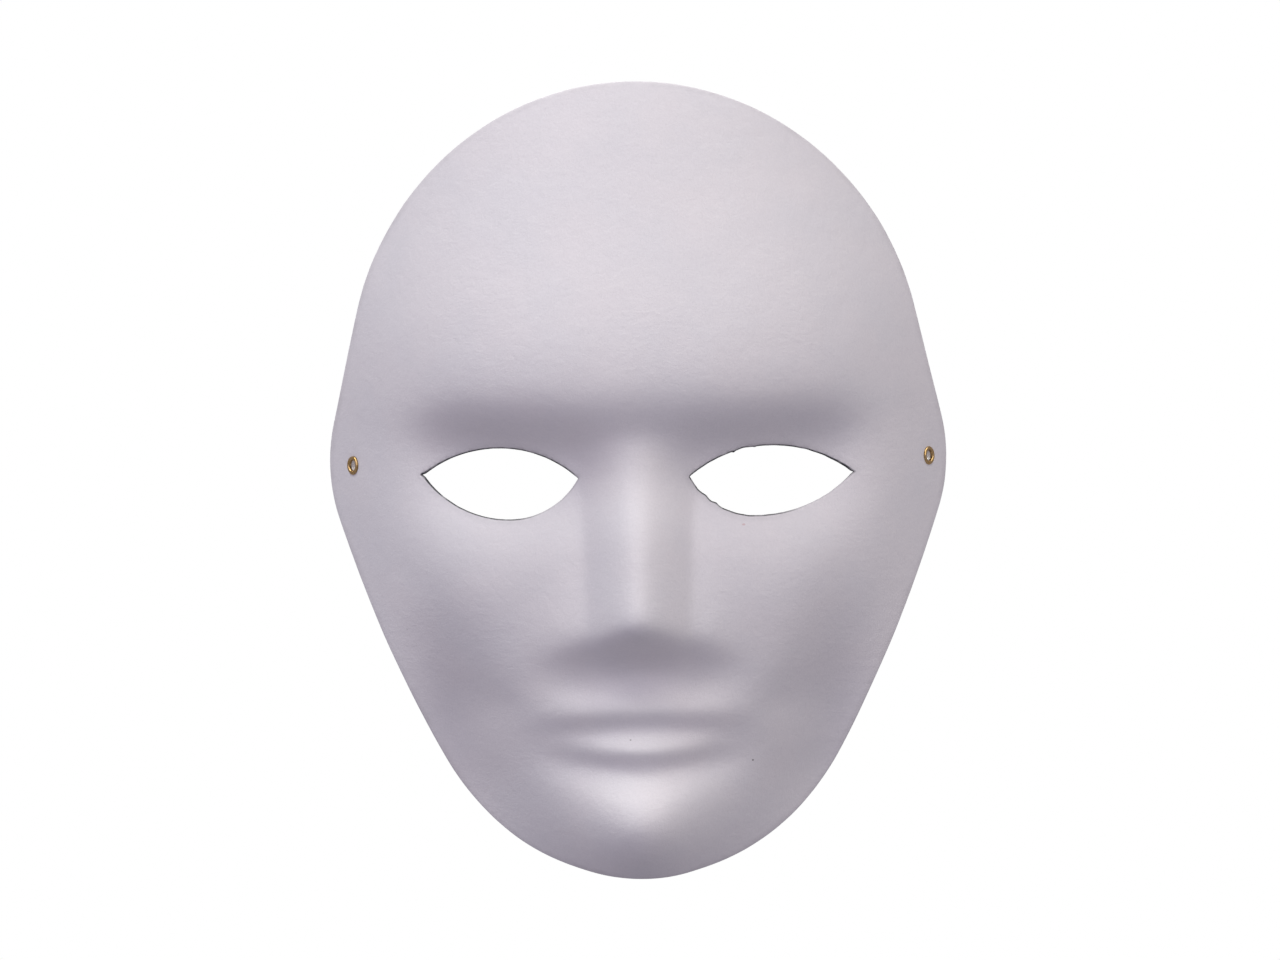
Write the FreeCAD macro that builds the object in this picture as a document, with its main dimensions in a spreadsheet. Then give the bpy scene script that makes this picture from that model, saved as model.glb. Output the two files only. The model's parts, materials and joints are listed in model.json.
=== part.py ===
import FreeCAD, Part
import math
import os

import Sketcher
from FreeCAD import Placement, Rotation, Vector

# A blank full-face mask moulded from paper pulp, with a brass eyelet clinched through each temple.
#
# Millimetres, +Z up. The face looks along -Y, X = 0 is its plane of symmetry, Z = 0 is the eyelets'
# line, and Y = 0 is the rim's rearmost plane, where the mask meets the wearer's temples.

# The front outline is drawn from tangent arcs, and its temples are its widest points.
OUTLINE = {
    "half_width": 95.2,
    "temple_height": 0.8,
    "crown_top": 114.8,
    "chin_bottom": -126.2,
    "crown_radius": 88.0,
    "temple_radius": 52.0,
    "jaw_radius": 480.0,
    "chin_radius": 68.0,
}

# Each eye opening runs from its outer corner over a crest to its inner corner and back under a trough.
EYES = {
    "left_outer_x": -65.2, "left_outer_z": -3.2,
    "left_crest_x": -42.1, "left_crest_z": 4.3,
    "left_inner_x": -17.7, "left_inner_z": -5.2,
    "left_trough_x": -38.2, "left_trough_z": -17.2,
    "right_outer_x": 65.7, "right_outer_z": -4.5,
    "right_crest_x": 40.7, "right_crest_z": 3.8,
    "right_inner_x": 15.9, "right_inner_z": -5.2,
    "right_trough_x": 35.9, "right_trough_z": -17.2,
}

PULP = {
    "pulp_thickness": 1.4,
    "relief_step": 3.0,
    "skin_margin": 2.0,
}

# The underlying dome: how far forward it stands at the brow, and how far it falls back from there.
# The side and flank drops change with height, by their slope and curve for every span of height.
DOME = {
    "brow_height": 18.0,
    "brow_depth": 55.5,
    "crown_drop": 16.0,
    "jaw_drop": 23.0,
    "drop_span": 100.0,
    "side_drop": 41.7, "side_drop_slope": 6.0, "side_drop_curve": 10.0,
    "flank_drop": 15.8, "flank_drop_slope": 6.0, "flank_drop_curve": -4.0,
}

SOCKETS = {
    "socket_depth": 18.5,
    "socket_top": 7.7, "socket_top_soft": 8.0, "socket_top_rise": 3.8, "socket_top_rise_at": 60.0,
    "socket_foot": -13.1, "socket_foot_soft": 14.5,
    "socket_reach": 62.3, "socket_reach_soft": 12.5,
}

NOSE = {
    "nose_root_z": 10.0, "nose_tip_z": -50.0, "nose_overrun": 0.3,
    "nose_root_rise": 9.6, "nose_tip_rise": 15.8,
    "nose_root_slope": 0.68, "nose_tip_slope": 1.6,
    "nose_ridge_radius": 6.5, "nose_foot_soft": 1.9,
    "nose_fade_z": 5.4, "nose_fade_soft": 5.8,
    "nose_base_z": -56.1, "nose_base_soft": 5.4, "nose_base_arch": 6.9,
    "nose_base_spread": 32.7, "nose_base_levelling": 0.5,
    "nose_wing_rise": 11.5, "nose_wing_z": -66.4, "nose_wing_height": 24.5,
    "nose_wing_reach": 23.3, "nose_wing_soft": 8.9,
}

# Soft mounds and hollows: rise (negative for a hollow), centre x and z, reach in x and z, and how
# far its ends bend up, at 25 mm from the middle. One that is off the middle has a twin opposite.
MOUNDS = {
    "brow_ridge": (9.5, 0.0, 20.2, 145.0, 43.0, 1.7),
    "muzzle": (6.0, 0.0, -87.6, 27.0, 11.4, 7.2),
    "upper_lip": (6.3, 0.0, -78.3, 34.7, 7.9, -1.5),
    "mouth_line": (-4.4, 0.0, -80.7, 26.4, 5.0, -1.0),
    "lip_bed": (-10.7, 0.0, -89.2, 29.9, 9.3, 4.2),
    "lower_lip": (7.4, 0.0, -87.8, 22.1, 5.2, 2.7),
    "chin": (25.7, 0.0, -113.5, 21.8, 22.0, 5.5),
    "cheek": (4.0, 53.6, -55.4, 32.5, 30.4, 3.5),
    "jaw_hollow": (-11.4, 54.2, -113.0, 13.6, 32.8, 5.2),
}
MOUND_FIELDS = ("rise", "x", "z", "reach_x", "reach_z", "bend")
BEND_AT = 25.0

EYELETS = {
    "eyelet_left_x": -87.4, "eyelet_right_x": 89.4, "eyelet_z": 0.0,
    "bore_radius": 1.6,
    "barrel_radius": 1.9,
    "flange_radius": 2.9,
    "clinch_radius": 2.5,
    "washer_radius": 3.4,
    "washer_thickness": 0.35,
    "seat_squeeze": 0.15,
    "hole_clearance": 0.05,
    "seat_margin": 0.1,
    "tool_reach": 4.0,
}

SIDES = {"left": -1, "right": 1}


def fill_sheet(doc):
    """Put every driving dimension in the spreadsheet, one row each, and return it."""
    sheet = doc.addObject("Spreadsheet::Sheet", "dimensions")
    rows = {}
    for group in (OUTLINE, EYES, PULP, DOME, SOCKETS, NOSE, EYELETS):
        rows.update(group)
    for mound, values in MOUNDS.items():
        for field, value in zip(MOUND_FIELDS, values):
            rows[f"{mound}_{field}"] = value
    for number, (alias, value) in enumerate(rows.items(), start=1):
        sheet.set(f"A{number}", alias)
        sheet.set(f"B{number}", str(value))
        sheet.setAlias(f"B{number}", alias)
    doc.recompute()
    return sheet


def fade(distance, softness):
    """Rise smoothly from 0 to 1 as distance goes from well below zero to well above it."""
    return 0.5 * (1.0 + math.tanh(distance / softness))


class Relief:
    """The height of the moulding's front face above the rim plane, as a function of x and z."""

    def __init__(self, sheet):
        self.sheet = sheet
        self.mounds = [[self.size(f"{mound}_{field}") for field in MOUND_FIELDS] for mound in MOUNDS]
        for name in (*OUTLINE, *PULP, *DOME, *SOCKETS, *NOSE):
            setattr(self, name, self.size(name))
        self.crown_span = self.crown_top - self.brow_height
        self.jaw_span = self.brow_height - self.chin_bottom

    def size(self, alias):
        return float(getattr(self.sheet, alias))

    def dome(self, x, z):
        above = max(z - self.brow_height, 0.0) / self.crown_span
        below = max(self.brow_height - z, 0.0) / self.jaw_span
        across = x / self.half_width
        up = z / self.drop_span
        side = self.side_drop + self.side_drop_slope * up + self.side_drop_curve * up**2
        flank = self.flank_drop + self.flank_drop_slope * up + self.flank_drop_curve * up**2
        middle = self.brow_depth - self.crown_drop * above**2 - self.jaw_drop * below**3
        return middle - side * across**2 - flank * across**4

    def sockets(self, x, z):
        top = self.socket_top + self.socket_top_rise * (x / self.socket_top_rise_at) ** 2
        under_brow = fade(top - z, self.socket_top_soft)
        over_cheek = fade(z - self.socket_foot, self.socket_foot_soft)
        inside = fade(self.socket_reach - abs(x), self.socket_reach_soft)
        return -self.socket_depth * under_brow * over_cheek * inside

    def nose(self, x, z):
        along = (self.nose_root_z - z) / (self.nose_root_z - self.nose_tip_z)
        along = min(max(along, -self.nose_overrun), 1.0 + self.nose_overrun)
        rise = self.nose_root_rise + (self.nose_tip_rise - self.nose_root_rise) * along
        slope = self.nose_root_slope + (self.nose_tip_slope - self.nose_root_slope) * along
        radius = self.nose_ridge_radius
        wedge = rise - slope * (math.hypot(x, radius) - radius)
        wedge = 0.5 * (wedge + math.hypot(wedge, self.nose_foot_soft))
        spread = (x / self.nose_base_spread) ** 2
        levelled = spread / (1.0 + self.nose_base_levelling * spread)
        base_z = self.nose_base_z - self.nose_base_arch * levelled
        above_base = fade(z - base_z, self.nose_base_soft)
        below_root = fade(self.nose_fade_z - z, self.nose_fade_soft)
        wing = math.exp(-(((z - self.nose_wing_z) / self.nose_wing_height) ** 2))
        wing *= self.nose_wing_rise * fade(self.nose_wing_reach - abs(x), self.nose_wing_soft)
        return above_base * (wedge * below_root + wing)

    def mound(self, x, z, values):
        rise, centre_x, centre_z, reach_x, reach_z, bend = values
        middle_z = centre_z + bend * (x / BEND_AT) ** 2
        total = 0.0
        for centre in {centre_x, -centre_x}:
            total += math.exp(-(((x - centre) / reach_x) ** 2) - ((z - middle_z) / reach_z) ** 2)
        return rise * total

    def height(self, x, z):
        mounds = sum(self.mound(x, z, values) for values in self.mounds)
        return self.dome(x, z) + self.sockets(x, z) + self.nose(x, z) + mounds

    def outward(self, x, z):
        """The front face's unit normal at x and z, pointing away from the wearer."""
        step = 0.05
        slope_x = (self.height(x + step, z) - self.height(x - step, z)) / (2 * step)
        slope_z = (self.height(x, z + step) - self.height(x, z - step)) / (2 * step)
        return Vector(-slope_x, -1.0, -slope_z).normalize()


def make_front_face(doc, relief):
    """The front skin on a rectangle a little larger than the outline, before it is trimmed."""
    step = relief.relief_step
    columns = math.ceil((relief.half_width + relief.skin_margin) / step)
    first_row = math.floor((relief.chin_bottom - relief.skin_margin) / step)
    last_row = math.ceil((relief.crown_top + relief.skin_margin) / step)
    grid = []
    for column in range(-columns, columns + 1):
        x = column * step
        heights = [row * step for row in range(first_row, last_row + 1)]
        grid.append([Vector(x, -relief.height(x, z), z) for z in heights])
    surface = Part.BSplineSurface()
    surface.interpolate(grid)
    feature = doc.addObject("Part::Feature", "front_skin")
    feature.Shape = surface.toShape()
    return feature


def origin_plane(body, role):
    return next(feature for feature in body.Origin.OriginFeatures if feature.Role == role)


def new_sketch(doc, name, plane):
    """A body with one empty sketch on the given origin plane."""
    body = doc.addObject("PartDesign::Body", name)
    sketch = body.newObject("Sketcher::SketchObject", f"{name}_sketch")
    sketch.AttachmentSupport = [(origin_plane(body, plane), "")]
    sketch.MapMode = "FlatFace"
    return body, sketch


def bind(sketch, index, name, expression):
    """Name a sketch constraint and take its value from the spreadsheet."""
    sketch.renameConstraint(index, name)
    sketch.setExpression(f"Constraints.{name}", expression)


def place_point(sketch, geometry, end, name, x_expression, z_expression):
    """Hold one end of an edge at a point of the spreadsheet, measured from the sketch's origin."""
    point = sketch.getPoint(geometry, end)
    for axis, value, expression in (("X", point.x, x_expression), ("Y", point.y, z_expression)):
        index = sketch.addConstraint(
            Sketcher.Constraint(f"Distance{axis}", -1, 1, geometry, end, value)
        )
        bind(sketch, index, f"{name}{axis}", expression)


def pad_through(body, sketch, length):
    """Pad the sketch both ways, so that it passes right through the moulding."""
    pad = body.newObject("PartDesign::Pad", f"{body.Name}_pad")
    pad.Profile = sketch
    pad.SideType = "Symmetric"
    pad.Length = length
    return pad


def arc_between(centre, start, end):
    """The arc from start to end, counter-clockwise about centre."""
    radius = start.distanceToPoint(centre)
    angles = [math.atan2(point.y - centre.y, point.x - centre.x) for point in (start, end)]
    return Part.ArcOfCircle(Part.Circle(centre, Vector(0, 0, 1), radius), *angles)


def make_outline(doc, sheet):
    """The front outline: crown, temples, jaw flanks and chin, all tangent, as a prism."""
    body, sketch = new_sketch(doc, "outline", "XZ_Plane")
    half_width = float(sheet.half_width)
    crown_radius = float(sheet.crown_radius)
    temple_radius = float(sheet.temple_radius)
    jaw_radius = float(sheet.jaw_radius)
    chin_radius = float(sheet.chin_radius)
    crown = Vector(0, float(sheet.crown_top) - crown_radius, 0)
    chin = Vector(0, float(sheet.chin_bottom) + chin_radius, 0)
    temple = Vector(half_width - temple_radius, float(sheet.temple_height), 0)

    # The jaw's centre is where circles of the two tangent centre distances cross, on the far side.
    to_temple = jaw_radius - temple_radius
    to_chin = jaw_radius - chin_radius
    between = temple - chin
    spacing = between.Length
    along = (to_chin**2 - to_temple**2 + spacing**2) / (2 * spacing)
    across = math.sqrt(to_chin**2 - along**2)
    unit = between / spacing
    jaw = chin + unit * along + Vector(-unit.y, unit.x, 0) * across

    # The upper flank is the outer tangent line of the crown and temple circles.
    to_crown = crown - temple
    tilt = math.acos((temple_radius - crown_radius) / to_crown.Length)
    heading = math.atan2(to_crown.y, to_crown.x) - tilt
    normal = Vector(math.cos(heading), math.sin(heading), 0)
    flank_top = crown + normal * crown_radius
    flank_foot = temple + normal * temple_radius
    jaw_top = jaw + (temple - jaw).normalize() * jaw_radius
    jaw_foot = jaw + (chin - jaw).normalize() * jaw_radius

    def twin(point):
        return Vector(-point.x, point.y, 0)

    edges = [
        arc_between(crown, flank_top, twin(flank_top)),
        Part.LineSegment(twin(flank_top), twin(flank_foot)),
        arc_between(twin(temple), twin(flank_foot), twin(jaw_top)),
        arc_between(twin(jaw), twin(jaw_top), twin(jaw_foot)),
        arc_between(chin, twin(jaw_foot), jaw_foot),
        arc_between(jaw, jaw_foot, jaw_top),
        arc_between(temple, jaw_top, flank_foot),
        Part.LineSegment(flank_foot, flank_top),
    ]
    sketch.addGeometry(edges)
    for index in range(len(edges)):
        following = (index + 1) % len(edges)
        sketch.addConstraint(Sketcher.Constraint("Tangent", index, 2, following, 1))
    for index, name, value in (
        (0, "crown_radius", crown_radius),
        (2, "temple_radius", temple_radius),
        (3, "jaw_radius", jaw_radius),
        (4, "chin_radius", chin_radius),
        (5, "jaw_radius", jaw_radius),
        (6, "temple_radius", temple_radius),
    ):
        constraint = sketch.addConstraint(Sketcher.Constraint("Radius", index, value))
        bind(sketch, constraint, f"{name}_{index}", f"dimensions.{name}")
    place_point(sketch, 0, 3, "crown", "0", "dimensions.crown_top - dimensions.crown_radius")
    place_point(sketch, 4, 3, "chin", "0", "dimensions.chin_bottom + dimensions.chin_radius")
    temple_x = "dimensions.half_width - dimensions.temple_radius"
    place_point(sketch, 6, 3, "right_temple", temple_x, "dimensions.temple_height")
    place_point(sketch, 2, 3, "left_temple", f"-({temple_x})", "dimensions.temple_height")
    pad_through(body, sketch, 4 * crown_radius)
    return body


def make_eye(doc, side):
    """One eye opening as a prism: four arcs, level at the crest and at the trough."""
    body, sketch = new_sketch(doc, f"eye_{side}", "XZ_Plane")
    corners = ["outer", "trough", "inner", "crest"]
    points = {
        corner: Vector(EYES[f"{side}_{corner}_x"], EYES[f"{side}_{corner}_z"], 0) for corner in corners
    }
    if SIDES[side] > 0:
        corners.reverse()
    edges = []
    for index, corner in enumerate(corners):
        start = points[corner]
        end = points[corners[(index + 1) % 4]]
        level, tip = (start, end) if corner in ("crest", "trough") else (end, start)
        drop = tip.y - level.y
        radius = ((tip.x - level.x) ** 2 + drop**2) / (2 * drop)
        edges.append(arc_between(level + Vector(0, radius, 0), start, end))
    sketch.addGeometry(edges)
    for index, corner in enumerate(corners):
        following = (index + 1) % 4
        sketch.addConstraint(Sketcher.Constraint("Coincident", index, 2, following, 1))
        level_end = 1 if corner in ("crest", "trough") else 2
        sketch.addConstraint(Sketcher.Constraint("Vertical", index, 3, index, level_end))
        cell = f"dimensions.{side}_{corner}"
        place_point(sketch, index, 1, corner, f"{cell}_x", f"{cell}_z")
    pad_through(body, sketch, 4 * OUTLINE["crown_radius"])
    return body


def make_pulp_wall(doc, sheet, relief):
    """The moulding: the front skin cut to its outline and eye openings, then thickened inward."""
    skin = make_front_face(doc, relief)
    trimmed = doc.addObject("Part::Common", "trimmed_skin")
    trimmed.Base = skin
    trimmed.Tool = make_outline(doc, sheet)
    for side in SIDES:
        opened = doc.addObject("Part::Cut", f"skin_open_{side}")
        opened.Base = trimmed
        opened.Tool = make_eye(doc, side)
        trimmed = opened
    wall = doc.addObject("Part::Offset", "pulp_wall")
    wall.Source = trimmed
    wall.setExpression("Value", "-dimensions.pulp_thickness")
    wall.Fill = True
    return wall


# The planes that the pulp is squeezed between, measured along a hole's axis from the front skin.
FRONT_SEAT = "-dimensions.seat_squeeze"
BACK_SEAT = "(dimensions.seat_squeeze - dimensions.pulp_thickness)"
CLINCH_SEAT = f"({BACK_SEAT} - dimensions.washer_thickness)"
HOLE_RADIUS = "(dimensions.barrel_radius + dimensions.hole_clearance)"


def turn(doc, name, corners):
    """A solid of revolution about its own Z axis.

    Each corner of the profile has a name, a radius, a height and the kind of edge that follows it:
    a line, or a half circle that a corner of the same height or the same radius ends.
    """
    body, sketch = new_sketch(doc, name, "XZ_Plane")
    points = [
        Vector(sketch.evalExpression(radius), sketch.evalExpression(height), 0)
        for _, radius, height, _ in corners
    ]
    edges = []
    for index, corner in enumerate(corners):
        start = points[index]
        end = points[(index + 1) % len(points)]
        if corner[3] == "line":
            edges.append(Part.LineSegment(start, end))
        else:
            edges.append(arc_between((start + end) / 2, start, end))
    sketch.addGeometry(edges)
    for index, (corner, radius, height, kind) in enumerate(corners):
        following = (index + 1) % len(corners)
        sketch.addConstraint(Sketcher.Constraint("Coincident", index, 2, following, 1))
        if kind != "line":
            sketch.addConstraint(Sketcher.Constraint(kind, index, 3, index, 1))
        place_point(sketch, index, 1, corner, radius, height)
    revolution = body.newObject("PartDesign::Revolution", f"{name}_revolution")
    revolution.Profile = sketch
    revolution.ReferenceAxis = (sketch, ["V_Axis"])
    revolution.Angle = 360
    return body


def make_hole_tool(doc, name):
    """What is taken from the wall at an eyelet: the hole and a flat seat on each face."""
    front_radius = "dimensions.flange_radius + dimensions.seat_margin"
    back_radius = "dimensions.washer_radius + dimensions.seat_margin"
    return turn(doc, name, [
        ("back_axis", "0", "-dimensions.tool_reach", "line"),
        ("back_edge", back_radius, "-dimensions.tool_reach", "line"),
        ("back_rim", back_radius, BACK_SEAT, "line"),
        ("hole_foot", HOLE_RADIUS, BACK_SEAT, "line"),
        ("hole_top", HOLE_RADIUS, FRONT_SEAT, "line"),
        ("front_rim", front_radius, FRONT_SEAT, "line"),
        ("front_edge", front_radius, "dimensions.tool_reach", "line"),
        ("front_axis", "0", "dimensions.tool_reach", "line"),
    ])


def make_eyelet(doc, name):
    """A drawn brass eyelet: rolled flange in front, barrel, and the end clinched over the washer."""
    return turn(doc, name, [
        ("bore_foot", "dimensions.bore_radius", CLINCH_SEAT, "Horizontal"),
        ("clinch_rim", "dimensions.clinch_radius", CLINCH_SEAT, "line"),
        ("barrel_foot", "dimensions.barrel_radius", CLINCH_SEAT, "line"),
        ("barrel_top", "dimensions.barrel_radius", FRONT_SEAT, "line"),
        ("flange_rim", "dimensions.flange_radius", FRONT_SEAT, "Horizontal"),
        ("bore_top", "dimensions.bore_radius", FRONT_SEAT, "line"),
    ])


def make_washer(doc, name):
    """The thin washer behind the pulp, with a rounded outer edge."""
    return turn(doc, name, [
        ("inner_foot", HOLE_RADIUS, CLINCH_SEAT, "line"),
        ("outer_foot", "dimensions.washer_radius", CLINCH_SEAT, "Vertical"),
        ("outer_top", "dimensions.washer_radius", BACK_SEAT, "line"),
        ("inner_top", HOLE_RADIUS, BACK_SEAT, "line"),
    ])


def eyelet_placement(relief, side):
    """Where an eyelet sits: on the front skin at the temple, square to it."""
    x = relief.size(f"eyelet_{side}_x")
    z = relief.size("eyelet_z")
    seat = Vector(x, -relief.height(x, z), z)
    return Placement(seat, Rotation(Vector(0, 0, 1), relief.outward(x, z)))


def build(doc):
    """Make every sub-part and return them in the order they are listed in."""
    sheet = fill_sheet(doc)
    relief = Relief(sheet)
    shell = make_pulp_wall(doc, sheet, relief)
    hardware = []
    for side in SIDES:
        placement = eyelet_placement(relief, side)
        tool = make_hole_tool(doc, f"hole_tool_{side}")
        eyelet = make_eyelet(doc, f"eyelet_{side}")
        washer = make_washer(doc, f"eyelet_washer_{side}")
        for piece in (tool, eyelet, washer):
            piece.Placement = placement
        pierced = doc.addObject("Part::Cut", f"pierced_{side}")
        pierced.Base = shell
        pierced.Tool = tool
        shell = pierced
        hardware += [eyelet, washer]
    shell.Label = "mask_shell"
    doc.recompute()
    return [shell, *hardware]


def check(doc, parts):
    """Stop if anything failed to build, so that no bad file is written."""
    for item in doc.Objects:
        failed = {"Invalid", "Error"} & set(item.State)
        if failed:
            raise RuntimeError(f"{item.Label} is {failed}")
    for item in parts:
        shape = item.Shape
        if shape.isNull() or not shape.isValid() or len(shape.Solids) != 1:
            raise RuntimeError(f"{item.Label} isn't one valid solid")


def main():
    doc = FreeCAD.newDocument("mask")
    parts = build(doc)
    check(doc, parts)
    os.makedirs("parts", exist_ok=True)
    for item in parts:
        item.Shape.exportStep(f"parts/{item.Label}.step")
        print(f"{item.Label}: {item.Shape.Volume / 1000:.3f} cm3")


main()
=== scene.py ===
"""Looks for a blank full-face mask of moulded paper pulp with a brass eyelet at each temple.

The pulp shell is rebuilt here as one fine mesh on the CAD's own surface, with a rolled rim, hand-cut
eye openings and a felted back. Each eyelet and washer is turned again from the CAD's profile.
"""
import json
import math

import bpy
import numpy as np
from mathutils import Matrix, Vector, noise
from mathutils.geometry import delaunay_2d_cdt


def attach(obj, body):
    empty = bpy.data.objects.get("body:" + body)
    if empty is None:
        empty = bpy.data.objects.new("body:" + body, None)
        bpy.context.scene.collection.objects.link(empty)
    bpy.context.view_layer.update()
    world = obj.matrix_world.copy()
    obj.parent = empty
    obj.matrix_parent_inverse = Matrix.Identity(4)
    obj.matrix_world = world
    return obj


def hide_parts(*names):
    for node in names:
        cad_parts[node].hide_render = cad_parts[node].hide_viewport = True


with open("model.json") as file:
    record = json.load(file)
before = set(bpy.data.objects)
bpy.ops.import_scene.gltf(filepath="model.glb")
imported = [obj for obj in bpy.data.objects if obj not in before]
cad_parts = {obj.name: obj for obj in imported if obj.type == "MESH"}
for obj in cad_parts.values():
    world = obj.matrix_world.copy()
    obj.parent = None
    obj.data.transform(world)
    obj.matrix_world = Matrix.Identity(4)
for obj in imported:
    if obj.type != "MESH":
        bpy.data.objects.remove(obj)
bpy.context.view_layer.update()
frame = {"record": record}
MM = 0.001

# The relief and the outline repeat the CAD's driving dimensions, in millimetres.
HALF_WIDTH = 95.2
TEMPLE_HEIGHT = 0.8
CROWN_TOP = 114.8
CHIN_BOTTOM = -126.2
CROWN_RADIUS = 88.0
TEMPLE_RADIUS = 52.0
JAW_RADIUS = 480.0
CHIN_RADIUS = 68.0
THICKNESS = 1.4

# Eye corners, crest and trough: (x, z), going outer, crest, inner, trough.
EYES = {
    "left": ((-65.2, -3.2), (-42.1, 4.3), (-17.7, -5.2), (-38.2, -17.2)),
    "right": ((65.7, -4.5), (40.7, 3.8), (15.9, -5.2), (35.9, -17.2)),
}

# The underlying dome: how far forward it stands at the brow, and how far it falls back from there.
# The side and flank drops change with height, by their slope and curve for every span of height.
DOME = {
    "brow_height": 18.0,
    "brow_depth": 55.5,
    "crown_drop": 16.0,
    "jaw_drop": 23.0,
    "drop_span": 100.0,
    "side_drop": 41.7, "side_drop_slope": 6.0, "side_drop_curve": 10.0,
    "flank_drop": 15.8, "flank_drop_slope": 6.0, "flank_drop_curve": -4.0,
}

SOCKETS = {
    "socket_depth": 18.5,
    "socket_top": 7.7, "socket_top_soft": 8.0, "socket_top_rise": 3.8, "socket_top_rise_at": 60.0,
    "socket_foot": -13.1, "socket_foot_soft": 14.5,
    "socket_reach": 62.3, "socket_reach_soft": 12.5,
}

NOSE = {
    "nose_root_z": 10.0, "nose_tip_z": -50.0, "nose_overrun": 0.3,
    "nose_root_rise": 9.6, "nose_tip_rise": 15.8,
    "nose_root_slope": 0.68, "nose_tip_slope": 1.6,
    "nose_ridge_radius": 6.5, "nose_foot_soft": 1.9,
    "nose_fade_z": 5.4, "nose_fade_soft": 5.8,
    "nose_base_z": -56.1, "nose_base_soft": 5.4, "nose_base_arch": 6.9,
    "nose_base_spread": 32.7, "nose_base_levelling": 0.5,
    "nose_wing_rise": 11.5, "nose_wing_z": -66.4, "nose_wing_height": 24.5,
    "nose_wing_reach": 23.3, "nose_wing_soft": 8.9,
}

# Soft mounds and hollows: rise (negative for a hollow), centre x and z, reach in x and z, and how
# far its ends bend up, at 25 mm from the middle. One that is off the middle has a twin opposite.
MOUNDS = {
    "brow_ridge": (9.5, 0.0, 20.2, 145.0, 43.0, 1.7),
    "muzzle": (6.0, 0.0, -87.6, 27.0, 11.4, 7.2),
    "upper_lip": (6.3, 0.0, -78.3, 34.7, 7.9, -1.5),
    "mouth_line": (-4.4, 0.0, -80.7, 26.4, 5.0, -1.0),
    "lip_bed": (-10.7, 0.0, -89.2, 29.9, 9.3, 4.2),
    "lower_lip": (7.4, 0.0, -87.8, 22.1, 5.2, 2.7),
    "chin": (25.7, 0.0, -113.5, 21.8, 22.0, 5.5),
    "cheek": (4.0, 53.6, -55.4, 32.5, 30.4, 3.5),
    "jaw_hollow": (-11.4, 54.2, -113.0, 13.6, 32.8, 5.2),
}
BEND_AT = 25.0


def fade(distance, softness):
    """Rise smoothly from 0 to 1 as distance goes from well below zero to well above it."""
    return 0.5 * (1.0 + np.tanh(distance / softness))


def dome(x, z):
    """The smooth dome, falling back to the crown, the jaw and both sides."""
    above = np.maximum(z - DOME["brow_height"], 0.0) / (CROWN_TOP - DOME["brow_height"])
    below = np.maximum(DOME["brow_height"] - z, 0.0) / (DOME["brow_height"] - CHIN_BOTTOM)
    across = x / HALF_WIDTH
    up = z / DOME["drop_span"]
    side = DOME["side_drop"] + DOME["side_drop_slope"] * up + DOME["side_drop_curve"] * up**2
    flank = DOME["flank_drop"] + DOME["flank_drop_slope"] * up + DOME["flank_drop_curve"] * up**2
    middle = DOME["brow_depth"] - DOME["crown_drop"] * above**2 - DOME["jaw_drop"] * below**3
    return middle - side * across**2 - flank * across**4


def sockets(x, z):
    """The hollow across both eyes, between the brow and the cheeks."""
    top = SOCKETS["socket_top"] + SOCKETS["socket_top_rise"] * (x / SOCKETS["socket_top_rise_at"]) ** 2
    under_brow = fade(top - z, SOCKETS["socket_top_soft"])
    over_cheek = fade(z - SOCKETS["socket_foot"], SOCKETS["socket_foot_soft"])
    within = fade(SOCKETS["socket_reach"] - np.abs(x), SOCKETS["socket_reach_soft"])
    return -SOCKETS["socket_depth"] * under_brow * over_cheek * within


def nose(x, z):
    """The wedge of the nose with its rounded ridge, and the wings that flank its tip."""
    along = (NOSE["nose_root_z"] - z) / (NOSE["nose_root_z"] - NOSE["nose_tip_z"])
    along = np.clip(along, -NOSE["nose_overrun"], 1.0 + NOSE["nose_overrun"])
    rise = NOSE["nose_root_rise"] + (NOSE["nose_tip_rise"] - NOSE["nose_root_rise"]) * along
    slope = NOSE["nose_root_slope"] + (NOSE["nose_tip_slope"] - NOSE["nose_root_slope"]) * along
    radius = NOSE["nose_ridge_radius"]
    wedge = rise - slope * (np.hypot(x, radius) - radius)
    wedge = 0.5 * (wedge + np.hypot(wedge, NOSE["nose_foot_soft"]))
    spread = (x / NOSE["nose_base_spread"]) ** 2
    levelled = spread / (1.0 + NOSE["nose_base_levelling"] * spread)
    base_z = NOSE["nose_base_z"] - NOSE["nose_base_arch"] * levelled
    above_base = fade(z - base_z, NOSE["nose_base_soft"])
    below_root = fade(NOSE["nose_fade_z"] - z, NOSE["nose_fade_soft"])
    wing = np.exp(-(((z - NOSE["nose_wing_z"]) / NOSE["nose_wing_height"]) ** 2))
    wing = wing * NOSE["nose_wing_rise"] * fade(NOSE["nose_wing_reach"] - np.abs(x), NOSE["nose_wing_soft"])
    return above_base * (wedge * below_root + wing)


def mound(x, z, rise, centre_x, centre_z, reach_x, reach_z, bend):
    """One soft mound or hollow, and its twin where it stands off the middle."""
    middle_z = centre_z + bend * (x / BEND_AT) ** 2
    total = 0.0
    for centre in {centre_x, -centre_x}:
        total = total + np.exp(-(((x - centre) / reach_x) ** 2) - ((z - middle_z) / reach_z) ** 2)
    return rise * total


def relief(x, z):
    """How far the front face stands in front of the rim plane, in millimetres."""
    mounds = sum(mound(x, z, *values) for values in MOUNDS.values())
    return dome(x, z) + sockets(x, z) + nose(x, z) + mounds


def on_face(points):
    """The front face's points and outward unit normals at (x, z) points, in millimetres."""
    x, z = points[:, 0], points[:, 1]
    step = 0.05
    slope_x = (relief(x + step, z) - relief(x - step, z)) / (2 * step)
    slope_z = (relief(x, z + step) - relief(x, z - step)) / (2 * step)
    normals = np.stack([-slope_x, -np.ones_like(x), -slope_z], 1)
    normals /= np.linalg.norm(normals, axis=1)[:, None]
    return np.stack([x, -relief(x, z), z], 1), normals


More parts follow.
